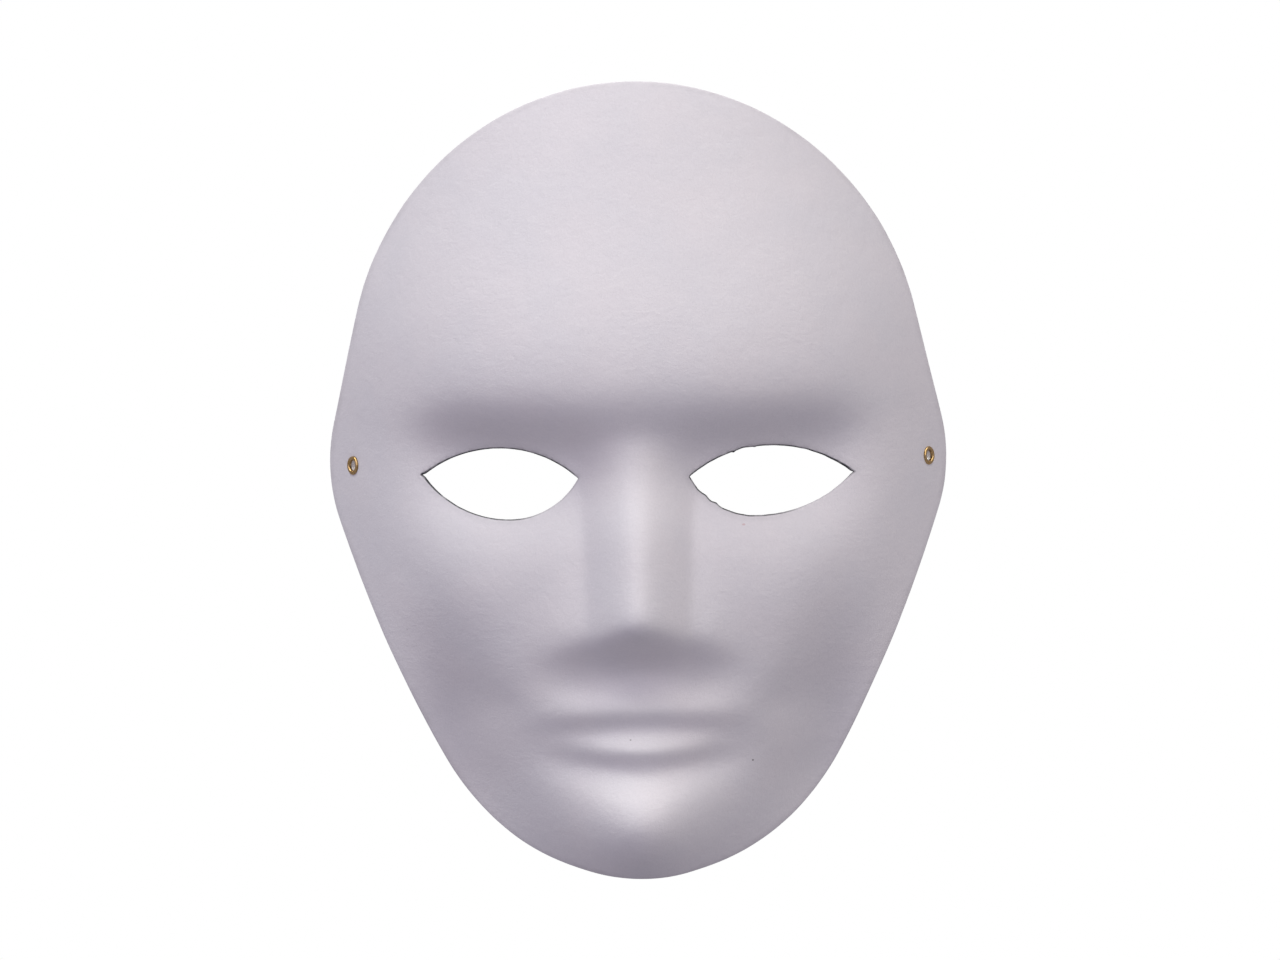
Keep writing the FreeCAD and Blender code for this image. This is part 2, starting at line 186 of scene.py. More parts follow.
def arc(centre, start, end, spacing):
    """Points along an arc from start up to, but not including, end, the short way round."""
    first = math.atan2(start[1] - centre[1], start[0] - centre[0])
    last = math.atan2(end[1] - centre[1], end[0] - centre[0])
    turn = (last - first + math.pi) % (2 * math.pi) - math.pi
    radius = math.hypot(start[0] - centre[0], start[1] - centre[1])
    count = max(2, round(abs(turn) * radius / spacing))
    angles = first + turn * np.arange(count) / count
    return np.stack([centre[0] + radius * np.cos(angles), centre[1] + radius * np.sin(angles)], 1)


def straight(start, end, spacing):
    count = max(2, round(math.dist(start, end) / spacing))
    share = (np.arange(count) / count)[:, None]
    return np.array(start) * (1 - share) + np.array(end) * share


def unit(vector):
    return vector / np.linalg.norm(vector)


def outline_loop(spacing):
    """The front outline, counter-clockwise from the chin, as the CAD's tangent arcs."""
    crown = np.array([0.0, CROWN_TOP - CROWN_RADIUS])
    chin = np.array([0.0, CHIN_BOTTOM + CHIN_RADIUS])
    temple = np.array([HALF_WIDTH - TEMPLE_RADIUS, TEMPLE_HEIGHT])
    to_temple = JAW_RADIUS - TEMPLE_RADIUS
    to_chin = JAW_RADIUS - CHIN_RADIUS
    gap = np.linalg.norm(temple - chin)
    along = (to_chin**2 - to_temple**2 + gap**2) / (2 * gap)
    across = math.sqrt(to_chin**2 - along**2)
    heading = unit(temple - chin)
    jaw = chin + heading * along + np.array([-heading[1], heading[0]]) * across
    to_crown = crown - temple
    tilt = math.acos((TEMPLE_RADIUS - CROWN_RADIUS) / np.linalg.norm(to_crown))
    angle = math.atan2(to_crown[1], to_crown[0]) - tilt
    normal = np.array([math.cos(angle), math.sin(angle)])
    flank_top = crown + normal * CROWN_RADIUS
    flank_foot = temple + normal * TEMPLE_RADIUS
    jaw_top = jaw + unit(temple - jaw) * JAW_RADIUS
    jaw_foot = jaw + unit(chin - jaw) * JAW_RADIUS
    right = np.concatenate([
        arc(chin, (0.0, CHIN_BOTTOM), jaw_foot, spacing),
        arc(jaw, jaw_foot, jaw_top, spacing),
        arc(temple, jaw_top, flank_foot, spacing),
        straight(flank_foot, flank_top, spacing),
        arc(crown, flank_top, (0.0, CROWN_TOP), spacing),
    ])
    left = right[1:][::-1] * [-1, 1]
    return np.concatenate([right, [[0.0, CROWN_TOP]], left])


def eye_loop(side, spacing):
    """One eye opening, counter-clockwise, level at its crest and its trough."""
    outer, crest, inner, trough = EYES[side]
    corners = [outer, trough, inner, crest] if side == "left" else [inner, trough, outer, crest]
    loop = []
    for index, start in enumerate(corners):
        end = corners[(index + 1) % 4]
        level, tip = (start, end) if start in (crest, trough) else (end, start)
        drop = tip[1] - level[1]
        radius = ((tip[0] - level[0]) ** 2 + drop**2) / (2 * drop)
        loop.append(arc((level[0], level[1] + radius), start, end, spacing))
    return np.concatenate(loop)


def outward_2d(loop):
    """Unit normals of a closed counter-clockwise loop, pointing out of it."""
    along = np.roll(loop, -1, 0) - np.roll(loop, 1, 0)
    along /= np.linalg.norm(along, axis=1)[:, None]
    return np.stack([along[:, 1], -along[:, 0]], 1)


# Slips of the knife: side, x and z, reach along the cut, and how far the cut strays into the pulp
# (or, when negative, how far a tab of pulp stands into the opening).
SLIPS = (
    ("left", -65.2, -3.2, 0.35, 0.45),
    ("left", -62.6, -7.6, 0.45, -0.45),
    ("right", 65.7, -4.5, 0.35, 0.35),
    ("right", 29.2, 2.4, 0.45, -0.6),
    ("right", 32.4, 3.2, 1.8, 0.25),
    ("right", 35.6, 3.9, 0.4, -0.55),
    ("right", 21.0, -10.6, 1.1, -0.45),
    ("right", 23.6, -13.4, 0.9, -0.35),
    ("right", 19.0, -8.4, 1.0, 0.3),
    ("right", 55.0, -11.6, 0.7, 0.2),
)
KNIFE_SHAKE = {"left": 0.05, "right": 0.1}
KNIFE_WANDER = 2.5


def cut_by_hand(side, loop):
    """Let the knife wander a little along an eye opening."""
    along = [Vector((x / KNIFE_WANDER, 0.0, z / KNIFE_WANDER)) for x, z in loop]
    stray = np.array([noise.noise(place) for place in along]) * KNIFE_SHAKE[side]
    for slip_side, x, z, reach, depth in SLIPS:
        if slip_side == side:
            stray += depth * np.exp(-((loop - [x, z]) ** 2).sum(1) / reach**2)
    return loop + outward_2d(loop) * stray[:, None]


SPACING = 1.2
EDGE_SPACING = 0.6
EYE_SPACING = 0.4
RIM_ROLL = 0.6
CUT_ROLL = 0.08
EDGE_ROWS = 7
# Below 1, an edge's round is blunter than a half circle.
EDGE_BLUNTNESS = 0.6
# No grid point stands nearer an edge than this share of the edge's own spacing.
EDGE_CLEARANCE = 0.75
MERGE_WITHIN = 1e-6


def inside(loop, points):
    """Which points lie inside a closed loop."""
    hits = np.zeros(len(points), bool)
    ends = np.roll(loop, -1, 0)
    for (x0, z0), (x1, z1) in zip(loop, ends):
        if z0 == z1:
            continue
        crosses = (points[:, 1] >= min(z0, z1)) & (points[:, 1] < max(z0, z1))
        at = x0 + (points[:, 1] - z0) * (x1 - x0) / (z1 - z0)
        hits ^= crosses & (points[:, 0] < at)
    return hits


def distance_to(loop, points):
    """How far each point is from a closed loop's nearest point."""
    nearest = np.full(len(points), np.inf)
    for corner in loop:
        nearest = np.minimum(nearest, ((points - corner) ** 2).sum(1))
    return np.sqrt(nearest)


# The eyelet's profile repeats the CAD's, measured along its axis from the front skin.
BORE_RADIUS = 1.6
BARREL_RADIUS = 1.9
FLANGE_RADIUS = 2.9
CLINCH_RADIUS = 2.5
WASHER_RADIUS = 3.4
WASHER_THICKNESS = 0.35
SEAT_SQUEEZE = 0.15
HOLE_RADIUS = 1.95
HOLE_POINTS = 24
FRONT_SEAT = -SEAT_SQUEEZE
BACK_SEAT = SEAT_SQUEEZE - THICKNESS
CLINCH_SEAT = BACK_SEAT - WASHER_THICKNESS
SEAT_BLEND = 1.6
# The flange's and the clinch's undersides are dished by this much where they meet the barrel.
DISHING = 0.02


def eyelet_frames():
    """Each eyelet's seat on the front skin and its outward axis, from the record's bore mounts."""
    frames = {}
    for mount in frame["record"]["mounts"]:
        if mount["kind"] == "bore":
            axis = Vector(mount["axis"])
            middle = Vector(mount["pos_m"]) / MM
            frames[mount["name"].split("_")[1]] = (middle - axis * (FRONT_SEAT + CLINCH_SEAT) / 2, axis)
    return frames


def hole_loop(centre, axis):
    """The punched hole's edge on the front face, counter-clockwise, as (x, z) points."""
    across = axis.orthogonal().normalized()
    up = axis.cross(across)
    turns = np.arange(HOLE_POINTS) * (2 * math.pi / HOLE_POINTS)
    ring = [centre + (across * math.cos(t) + up * math.sin(t)) * HOLE_RADIUS for t in turns]
    loop = np.array([[point.x, point.z] for point in ring])
    area = (loop[:, 0] * np.roll(loop[:, 1], -1) - np.roll(loop[:, 0], -1) * loop[:, 1]).sum()
    return loop if area > 0 else loop[::-1]


def shell_loops():
    """The rim, the eye openings and the punched holes, each counter-clockwise in the (x, z) plane."""
    outline = outline_loop(EDGE_SPACING)
    _, normals = on_face(outline)
    outward = outward_2d(outline)
    lean = 1 - (normals[:, [0, 2]] * outward).sum(1) ** 2
    loops = {"rim": outline - outward * (RIM_ROLL * np.sqrt(lean))[:, None]}
    for side in EYES:
        loops[f"eye_{side}"] = cut_by_hand(side, eye_loop(side, EYE_SPACING))
    for side, (centre, axis) in eyelet_frames().items():
        loops[f"hole_{side}"] = hole_loop(centre, axis)
    return loops


def on_pulp(loops, points):
    """Which (x, z) points are inside the rim and outside every opening."""
    keep = inside(loops["rim"], points)
    for name, loop in loops.items():
        if name != "rim":
            keep &= ~inside(loop, points)
    return keep


def shell_triangles(loops):
    """The pulp face cut into triangles in the (x, z) plane, and each loop's vertex indices."""
    rows = np.arange(CHIN_BOTTOM, CROWN_TOP, SPACING * math.sqrt(3) / 2)
    grid = []
    for number, z in enumerate(rows):
        x = np.arange(-HALF_WIDTH, HALF_WIDTH, SPACING) + (number % 2) * SPACING / 2
        grid.append(np.stack([x, np.full_like(x, z)], 1))
    grid = np.concatenate(grid)
    keep = on_pulp(loops, grid)
    for loop in loops.values():
        keep &= distance_to(loop, grid) > EDGE_CLEARANCE * EDGE_SPACING
    points = [*map(Vector, grid[keep])]
    edges = []
    members = {}
    for name, loop in loops.items():
        first = len(points)
        count = len(loop)
        points += [*map(Vector, loop)]
        members[name] = np.arange(first, first + count)
        edges += [(first + i, first + (i + 1) % count) for i in range(count)]
    result = delaunay_2d_cdt(points, edges, [], 0, MERGE_WITHIN)
    assert len(result[0]) == len(points), "the triangulation merged some points"
    flat = np.array([tuple(v) for v in result[0]])
    faces = np.array(result[2])
    return flat, faces[on_pulp(loops, flat[faces].mean(1))], members


# Unevenness of the pulp, in layers: how wide the lumps are, how high, and where their noise starts.
FRONT_UNEVENNESS = ((16.0, 0.16, 3.0), (5.0, 0.035, 9.0))
BACK_FELTING = ((6.0, 0.10, 21.0), (2.2, 0.05, 33.0))


def wobble(points, layers):
    """Gentle unevenness over the pulp, as the sum of some layers of smooth noise."""
    total = np.zeros(len(points))
    for reach, rise, start in layers:
        shift = Vector((start, 0.0, 0.0))
        total += rise * np.array([noise.noise(Vector(point) / reach + shift) for point in points])
    return total


def eyelet_dimple(points, radius):
    """How far the pulp is pressed in round the eyelets, out to radius and a soft blend beyond."""
    pressed = np.zeros(len(points))
    for centre, axis in eyelet_frames().values():
        offset = points - np.array(centre)
        along = offset @ np.array(axis)
        away = np.sqrt(np.maximum((offset**2).sum(1) - along**2, 0.0))
        pressed += SEAT_SQUEEZE * (1 - fade(away - radius - SEAT_BLEND / 2, SEAT_BLEND / 3))
    return pressed


def edge_outward(points, normals, loop, sign):
    """Unit directions off the pulp at an edge loop, in the face's tangent plane."""
    ring = points[loop]
    along = np.roll(ring, -1, 0) - np.roll(ring, 1, 0)
    away = np.cross(along, normals[loop]) * sign
    return away / np.linalg.norm(away, axis=1)[:, None]


FRONT, BACK, CUT = 0, 1, 2


def edge_band(points, normals, depth, loop, sign, roll, first):
    """Rows of vertices and quads that join the front face to the back one round an edge loop."""
    away = edge_outward(points, normals, loop, sign)
    half = depth[loop][:, None] / 2
    middle = points[loop] - normals[loop] * half
    rings = []
    rows = [loop]
    for step in range(1, EDGE_ROWS):
        turn = math.pi * step / EDGE_ROWS
        through = normals[loop] * half * math.cos(turn)
        bulge = away * roll * math.sin(turn) ** EDGE_BLUNTNESS
        rings.append(middle + through + bulge)
        rows.append(np.arange(len(loop)) + first)
        first += len(loop)
    rows.append(loop + len(points))
    quads = []
    for upper, lower in zip(rows, rows[1:]):
        ends = (upper, lower, np.roll(lower, -1), np.roll(upper, -1))
        quads.append(np.stack(ends if sign > 0 else ends[::-1], 1))
    return np.concatenate(rings), np.concatenate(quads)


# The painted shadow round each eye mostly fades out below it, from this share of its width rightwards.
PAINTED_SHADOW_FADE_FROM = {"left": 0.68, "right": 0.6}
PAINTED_SHADOW_FADE_SOFT = 0.07
PAINTED_SHADOW_FADE = 0.85


def painted_edge_shadow_strength(side, points):
    """How strongly the painted shadow shows round an eye: least along the lower right of each."""
    outer, crest, inner, trough = EYES[side]
    left, right = sorted((outer[0], inner[0]))
    across = (points[:, 0] - left) / (right - left)
    below = fade((outer[1] + inner[1]) / 2 - points[:, 1], 1.0)
    return 1.0 - PAINTED_SHADOW_FADE * below * fade(across - PAINTED_SHADOW_FADE_FROM[side], PAINTED_SHADOW_FADE_SOFT)


def make_shell():
    """The pulp moulding as one closed mesh, with front, back and cut faces in their own slots."""
    loops = shell_loops()
    flat, faces, members = shell_triangles(loops)
    points, normals = on_face(flat)
    uneven = wobble(points, FRONT_UNEVENNESS)
    front_dimple = eyelet_dimple(points, FLANGE_RADIUS)
    back_dimple = eyelet_dimple(points - normals * THICKNESS, WASHER_RADIUS)
    front = points + normals * (uneven - front_dimple)[:, None]
    depth = THICKNESS + uneven + wobble(points, BACK_FELTING) - front_dimple - back_dimple
    back = front - normals * depth[:, None]
    vertices = [front, back]
    count = len(points)
    triangles = [*map(tuple, faces), *map(tuple, faces[:, ::-1] + count)]
    slots = [FRONT] * len(faces) + [BACK] * len(faces)
    quads = []
    total = 2 * count
    for name, loop in members.items():
        roll, sign, slot = (RIM_ROLL, 1, FRONT) if name == "rim" else (CUT_ROLL, -1, CUT)
        ring, band = edge_band(front, normals, depth, loop, sign, roll, total)
        vertices.append(ring)
        quads += [*map(tuple, band)]
        slots += [slot] * len(band)
        total += len(ring)
    mesh = bpy.data.meshes.new("pulp_shell")
    vertices = np.concatenate(vertices)
    mesh.from_pydata((vertices * MM).tolist(), [], triangles + quads)
    mesh.polygons.foreach_set("material_index", slots)
    mesh.polygons.foreach_set("use_smooth", [True] * len(mesh.polygons))
    places = vertices[:, [0, 2]]
    to_eye = np.full(len(vertices), np.inf)
    # How strongly the painted shadow at the eye cuts shows at each vertex.
    painted_edge_shadow = np.ones(len(vertices))
    for side in EYES:
        reach = distance_to(loops[f"eye_{side}"], places)
        nearer = reach < to_eye
        to_eye[nearer] = reach[nearer]
        painted_edge_shadow[nearer] = painted_edge_shadow_strength(side, places)[nearer]
    store(mesh, "to_eye", to_eye)
    store(mesh, "to_rim", distance_to(loops["rim"], places))
    store(mesh, "painted_edge_shadow", painted_edge_shadow)
    mesh.update()
    shell = bpy.data.objects.new("pulp_shell", mesh)
    bpy.context.scene.collection.objects.link(shell)
    return shell


def store(mesh, name, values):
    """Keep one number for each vertex on the mesh, where a material can read it."""
    mesh.attributes.new(name, "FLOAT", "POINT").data.foreach_set("value", values)


def half_circle(start, end, count=14):
    """A half circle from start to end, counter-clockwise, both ends included."""
    centre = (np.array(start) + np.array(end)) / 2
    arm = np.array(start) - centre
    first = math.atan2(arm[1], arm[0])
    angles = first + math.pi * np.arange(count + 1) / count
    return centre + np.linalg.norm(arm) * np.stack([np.cos(angles), np.sin(angles)], 1)


SEGMENTS = 72
# How far the tarnish and painted shade reach up the flange, and how far down the barrel the plating thins
# out.
FOLD_REACH = 0.45
BARE_DEPTH = 0.25
# How far out of round the parts are, and the circle that their dents' noise is read along.
EYELET_DENTS = 0.08
WASHER_DENTS = 0.02
DENT_CIRCLE = 1.3
DENT_START = 5.0


def turned(name, profile, seat, axis, dents):
    """A closed profile of (radius, height) points turned about an eyelet's axis."""
    across = axis.orthogonal().normalized()
    up = axis.cross(across)
    vertices = []
    for step in range(SEGMENTS):
        turn = 2 * math.pi * step / SEGMENTS
        way = across * math.cos(turn) + up * math.sin(turn)
        uneven = dents * noise.noise(way * DENT_CIRCLE + axis * DENT_START)
        for radius, height in profile:
            out = radius + uneven * max(radius - BARREL_RADIUS, 0.0)
            vertices.append((seat + way * out + axis * height) * MM)
    faces = []
    count = len(profile)
    for step in range(SEGMENTS):
        here = step * count
        there = (step + 1) % SEGMENTS * count
        for i in range(count):
            j = (i + 1) % count
            faces.append((here + i, there + i, there + j, here + j))
    mesh = bpy.data.meshes.new(name)
    mesh.from_pydata(vertices, [], faces)
    mesh.polygons.foreach_set("use_smooth", [True] * len(faces))
    heights = np.array([height for _, height in profile] * SEGMENTS)
    # Where the brass is darkened by tarnish and painted shade: the flange's foot and the barrel's throat.
    store(mesh, "fold_tarnish_and_shade", 1.0 - np.clip((heights - FRONT_SEAT) / FOLD_REACH, 0.0, 1.0))
    store(mesh, "bare", np.clip((FRONT_SEAT - heights) / BARE_DEPTH - 1.0, 0.0, 1.0))
    mesh.update()
    piece = bpy.data.objects.new(name, mesh)
    bpy.context.scene.collection.objects.link(piece)
    return piece


def make_eyelet(side, seat, axis):
    profile = np.concatenate([
        straight((BORE_RADIUS, FRONT_SEAT), (BORE_RADIUS, CLINCH_SEAT), BARE_DEPTH)[1:],
        half_circle((BORE_RADIUS, CLINCH_SEAT), (CLINCH_RADIUS, CLINCH_SEAT)),
        [(BARREL_RADIUS, CLINCH_SEAT + DISHING), (BARREL_RADIUS, FRONT_SEAT - DISHING)],
        half_circle((FLANGE_RADIUS, FRONT_SEAT), (BORE_RADIUS, FRONT_SEAT)),
    ])
    return turned(f"brass_eyelet_{side}", profile, seat, axis, EYELET_DENTS)


def make_washer(side, seat, axis):
    profile = np.concatenate([
        [(HOLE_RADIUS, CLINCH_SEAT)],
        half_circle((WASHER_RADIUS, CLINCH_SEAT), (WASHER_RADIUS, BACK_SEAT), count=8),
        [(HOLE_RADIUS, BACK_SEAT)],
    ])
    return turned(f"brass_washer_{side}", profile, seat, axis, WASHER_DENTS)


def new_material(name):
    """A new node material, with its tree and its shader."""
    made = bpy.data.materials.new(name)
    made.use_nodes = True
    return made, made.node_tree, made.node_tree.nodes["Principled BSDF"]


def add(tree, kind, settings=None, **inputs):
    """A shader node whose inputs take numbers, colours or other nodes' outputs."""
    made = tree.nodes.new(f"ShaderNode{kind}")
    for name, value in (settings or {}).items():
        setattr(made, name, value)
    for name, value in inputs.items():
        feed(tree, made.inputs[name.replace("_", " ")], value)
    return made


def feed(tree, socket, value):
    if isinstance(value, bpy.types.NodeSocket):
        tree.links.new(value, socket)
    else:
        socket.default_value = value


def coordinates(tree):
    """Object coordinates in millimetres."""
    place = add(tree, "TexCoord").outputs["Object"]
    scale = add(tree, "VectorMath", {"operation": "SCALE"}, Vector=place, Scale=1 / MM)
    return scale.outputs["Vector"]


def lumps(tree, place, size, detail=2.0, distortion=0.0):
    """Smooth noise from 0 to 1 whose lumps are about size millimetres wide."""
    made = add(tree, "TexNoise", Vector=place, Scale=1 / size, Detail=detail, Distortion=distortion)
    return made.outputs["Fac"]


# Most of a noise's values lie between these two.
NOISE_RANGE = (0.3, 0.7)


def remap(tree, value, source, target):
    """Map a value smoothly from one range to another, clamped."""
    made = add(tree, "MapRange", {"interpolation_type": "SMOOTHSTEP"}, Value=value)
    for name, number in zip(("From Min", "From Max", "To Min", "To Max"), (*source, *target)):
        made.inputs[name].default_value = number
    return made.outputs["Result"]


def calculate(tree, operation, *values):
    """What a math node makes of one or two values."""
    made = add(tree, "Math", {"operation": operation})
    for socket, value in zip(made.inputs, values):
        feed(tree, socket, value)
    return made.outputs[0]


def times(tree, *values):
    """The product of two or more values."""
    total = values[0]
    for value in values[1:]:
        total = calculate(tree, "MULTIPLY", total, value)
    return total


def blend(tree, share, first, second):
    """Mix two colours by share."""
    made = add(tree, "Mix", {"data_type": "RGBA"}, Factor=share)
    colours = [socket for socket in made.inputs if socket.type == "RGBA"]
    feed(tree, colours[0], first)
    feed(tree, colours[1], second)
    return next(socket for socket in made.outputs if socket.type == "RGBA")


def grey(level):
    return (level, level, level, 1.0)


def stored(tree, name):
    return add(tree, "Attribute", {"attribute_name": name}).outputs["Fac"]


def bump(tree, height, rise, under=None):
    """A bump that rises so many millimetres as height goes from 0 to 1, laid over another one."""
    made = add(tree, "Bump", Height=height, Distance=rise * MM, Strength=1.0)
    if under is not None:
        tree.links.new(under, made.inputs["Normal"])
    return made.outputs["Normal"]


PULP_COLOUR = (0.80, 0.765, 0.81, 1.0)
PULP_SHADE = (0.775, 0.75, 0.80, 1.0)
PULP_GRAIN = (0.66, 0.64, 0.68, 1.0)
PULP_FIBRE = (0.93, 0.91, 0.94, 1.0)
FLECK_COLOUR = (0.25, 0.23, 0.23, 1.0)
HANDLED_COLOUR = (0.50, 0.47, 0.50, 1.0)
# Colours of the painted shade and painted shadow round the eye openings.
PAINTED_EDGE_SHADE_COLOUR = (0.35, 0.34, 0.37, 1.0)
PAINTED_EDGE_SHADOW_COLOUR = (0.035, 0.037, 0.045, 1.0)
BACK_PALE = (0.74, 0.72, 0.70, 1.0)
BACK_DULL = (0.66, 0.64, 0.63, 1.0)
BACK_GRAIN = (0.52, 0.50, 0.49, 1.0)
BACK_FIBRE = (0.86, 0.84, 0.82, 1.0)
CUT_PALE = (0.52, 0.50, 0.52, 1.0)
CUT_DULL = (0.36, 0.35, 0.37, 1.0)
BRASS_BRIGHT = (0.74, 0.52, 0.26, 1.0)
BRASS_DULL = (0.62, 0.40, 0.15, 1.0)
# Tarnish and painted shade in the eyelets' folds.
TARNISH_AND_SHADE = (0.16, 0.09, 0.035, 1.0)
BARE_METAL = (0.86, 0.83, 0.82, 1.0)

# Small marks in the pulp's face: x, z, half length along x, half height, and colour.
MARKS = (
    (33.5, -91.2, 0.28, 0.25, (0.12, 0.11, 0.11, 1.0)),
    (31.9, -19.9, 0.5, 0.3, (0.68, 0.50, 0.53, 1.0)),
    (-36.3, -121.6, 2.2, 0.16, (0.42, 0.40, 0.42, 1.0)),
    (-3.2, -84.0, 0.25, 0.2, (0.3, 0.28, 0.29, 1.0)),
)


def fibres(tree, place):
    """Thin curling fibres, as the ridges where a strongly distorted noise crosses its middle."""
    curls = lumps(tree, place, 1.6, detail=3.0, distortion=1.5)
    away = calculate(tree, "ABSOLUTE", calculate(tree, "SUBTRACT", curls, 0.5))
    return remap(tree, away, (0.0, 0.05), (1.0, 0.0))


# The noise is read this much more slowly in x and y than in z, so that wrinkles run across.
WRINKLE_SCALE = (0.35, 0.35, 1.0)


def wrinkles(tree, place):
    """Faint wrinkles in the pulp, longer across than up, that come and go in patches."""
    flat = add(tree, "VectorMath", {"operation": "MULTIPLY"}, Vector=place)
    flat.inputs[1].default_value = WRINKLE_SCALE
    patches = remap(tree, lumps(tree, place, 28.0), (0.45, 0.65), (0.05, 1.0))
    return times(tree, lumps(tree, flat.outputs["Vector"], 1.7, detail=3.0, distortion=0.8), patches)


def add_marks(tree, place, colour):
    """Lay each small mark over a colour, as a soft-edged ellipse."""
    apart = add(tree, "SeparateXYZ", Vector=place)
    for x, z, half_length, half_height, mark in MARKS:
        squares = []
        for axis, centre, half in (("X", x, half_length), ("Z", z, half_height)):
            offset = calculate(tree, "SUBTRACT", apart.outputs[axis], centre)
            share = times(tree, offset, 1 / half)
            squares.append(times(tree, share, share))
        reach = calculate(tree, "ADD", *squares)
        colour = blend(tree, remap(tree, reach, (0.5, 1.6), (0.8, 0.0)), colour, mark)
    return colour


def pulp_front():
    """Smooth white pulp with a faint pearly coat, a painted shadow line and painted shade round the eyes,
    and a few flecks.
    """
    made, tree, shader = new_material("pulp_front")
    place = coordinates(tree)
    mottle = lumps(tree, place, 22.0, detail=3.0)
    grain = lumps(tree, place, 0.7, detail=4.0)
    web = fibres(tree, place)
    colour = blend(tree, remap(tree, mottle, NOISE_RANGE, (0.0, 1.0)), PULP_COLOUR, PULP_SHADE)
    colour = blend(tree, remap(tree, grain, (0.35, 0.7), (0.0, 0.16)), colour, PULP_GRAIN)
    colour = blend(tree, times(tree, web, 0.07), colour, PULP_FIBRE)
    cells = add(tree, "TexVoronoi", Vector=place, Scale=1 / 14.0)
    fleck = times(
        tree,
        remap(tree, cells.outputs["Distance"], (0.008, 0.02), (1.0, 0.0)),
        remap(tree, lumps(tree, place, 30.0), (0.5, 0.56), (0.0, 0.45)),
    )
    colour = blend(tree, fleck, colour, FLECK_COLOUR)
    colour = add_marks(tree, place, colour)
    handled = times(
        tree,
        remap(tree, stored(tree, "to_rim"), (0.2, 1.8), (1.0, 0.0)),
        remap(tree, lumps(tree, place, 9.0, detail=3.0), (0.35, 0.75), (0.05, 0.3)),
    )
    colour = blend(tree, handled, colour, HANDLED_COLOUR)
    to_eye = stored(tree, "to_eye")
    # Painted shadow at the eye cuts: a dark broken line, and a soft painted shade fading out over a few
    # millimetres.
    broken = remap(tree, lumps(tree, place, 2.5, detail=3.0), (0.3, 0.55), (0.5, 1.0))
    line = times(tree, remap(tree, to_eye, (0.16, 0.55), (1.0, 0.0)), stored(tree, "painted_edge_shadow"), broken)
    painted_edge_shade = times(tree, remap(tree, to_eye, (0.3, 2.6), (0.16, 0.0)), stored(tree, "painted_edge_shadow"))
    colour = blend(tree, painted_edge_shade, colour, PAINTED_EDGE_SHADE_COLOUR)
    colour = blend(tree, line, colour, PAINTED_EDGE_SHADOW_COLOUR)
    tree.links.new(colour, shader.inputs["Base Color"])
    tree.links.new(remap(tree, grain, NOISE_RANGE, (0.5, 0.66)), shader.inputs["Roughness"])
    shader.inputs["Specular IOR Level"].default_value = 0.4
    shader.inputs["Sheen Weight"].default_value = 0.06
    shader.inputs["Sheen Roughness"].default_value = 0.5
    felt = bump(tree, lumps(tree, place, 3.2, detail=3.0, distortion=0.4), rise=0.14)
    creased = bump(tree, wrinkles(tree, place), rise=0.09, under=felt)
    fine = bump(tree, calculate(tree, "ADD", grain, times(tree, web, 0.35)), rise=0.045, under=creased)
    tree.links.new(fine, shader.inputs["Normal"])
    return made


def pulp_back():
    """The unpressed back of the pulp: felted, fibrous, matt and a little warmer."""
    made, tree, shader = new_material("pulp_back")
    place = coordinates(tree)
    mottle = lumps(tree, place, 12.0, detail=4.0)
    grain = lumps(tree, place, 0.9, detail=4.0)
    web = fibres(tree, place)
    colour = blend(tree, remap(tree, mottle, NOISE_RANGE, (0.0, 1.0)), BACK_PALE, BACK_DULL)
    colour = blend(tree, remap(tree, grain, (0.35, 0.7), (0.0, 0.4)), colour, BACK_GRAIN)
    colour = blend(tree, times(tree, web, 0.25), colour, BACK_FIBRE)
    tree.links.new(colour, shader.inputs["Base Color"])
    tree.links.new(remap(tree, mottle, NOISE_RANGE, (0.85, 0.97)), shader.inputs["Roughness"])
    shader.inputs["Specular IOR Level"].default_value = 0.2
    lumpy = bump(tree, lumps(tree, place, 4.0, detail=4.0, distortion=0.6), rise=0.45)
    fine = bump(tree, calculate(tree, "ADD", grain, times(tree, web, 0.6)), rise=0.14, under=lumpy)
    tree.links.new(fine, shader.inputs["Normal"])
    return made


def pulp_cut():
    """The knife-cut edge: layered grey fibres, blackened with painted shadow round most of each eye."""
    made, tree, shader = new_material("pulp_cut")
    place = coordinates(tree)
    fuzz = lumps(tree, place, 0.35, detail=4.0)
    colour = blend(tree, remap(tree, fuzz, NOISE_RANGE, (0.0, 1.0)), CUT_PALE, CUT_DULL)
    # Painted shadow darkens the cut faces round most of each eye.
    dark = times(tree, stored(tree, "painted_edge_shadow"), remap(tree, fuzz, (0.3, 0.6), (0.75, 0.97)))
    colour = blend(tree, dark, colour, PAINTED_EDGE_SHADOW_COLOUR)
    tree.links.new(colour, shader.inputs["Base Color"])
    shader.inputs["Roughness"].default_value = 0.95
    shader.inputs["Specular IOR Level"].default_value = 0.15
    tree.links.new(bump(tree, fuzz, rise=0.12), shader.inputs["Normal"])
    return made


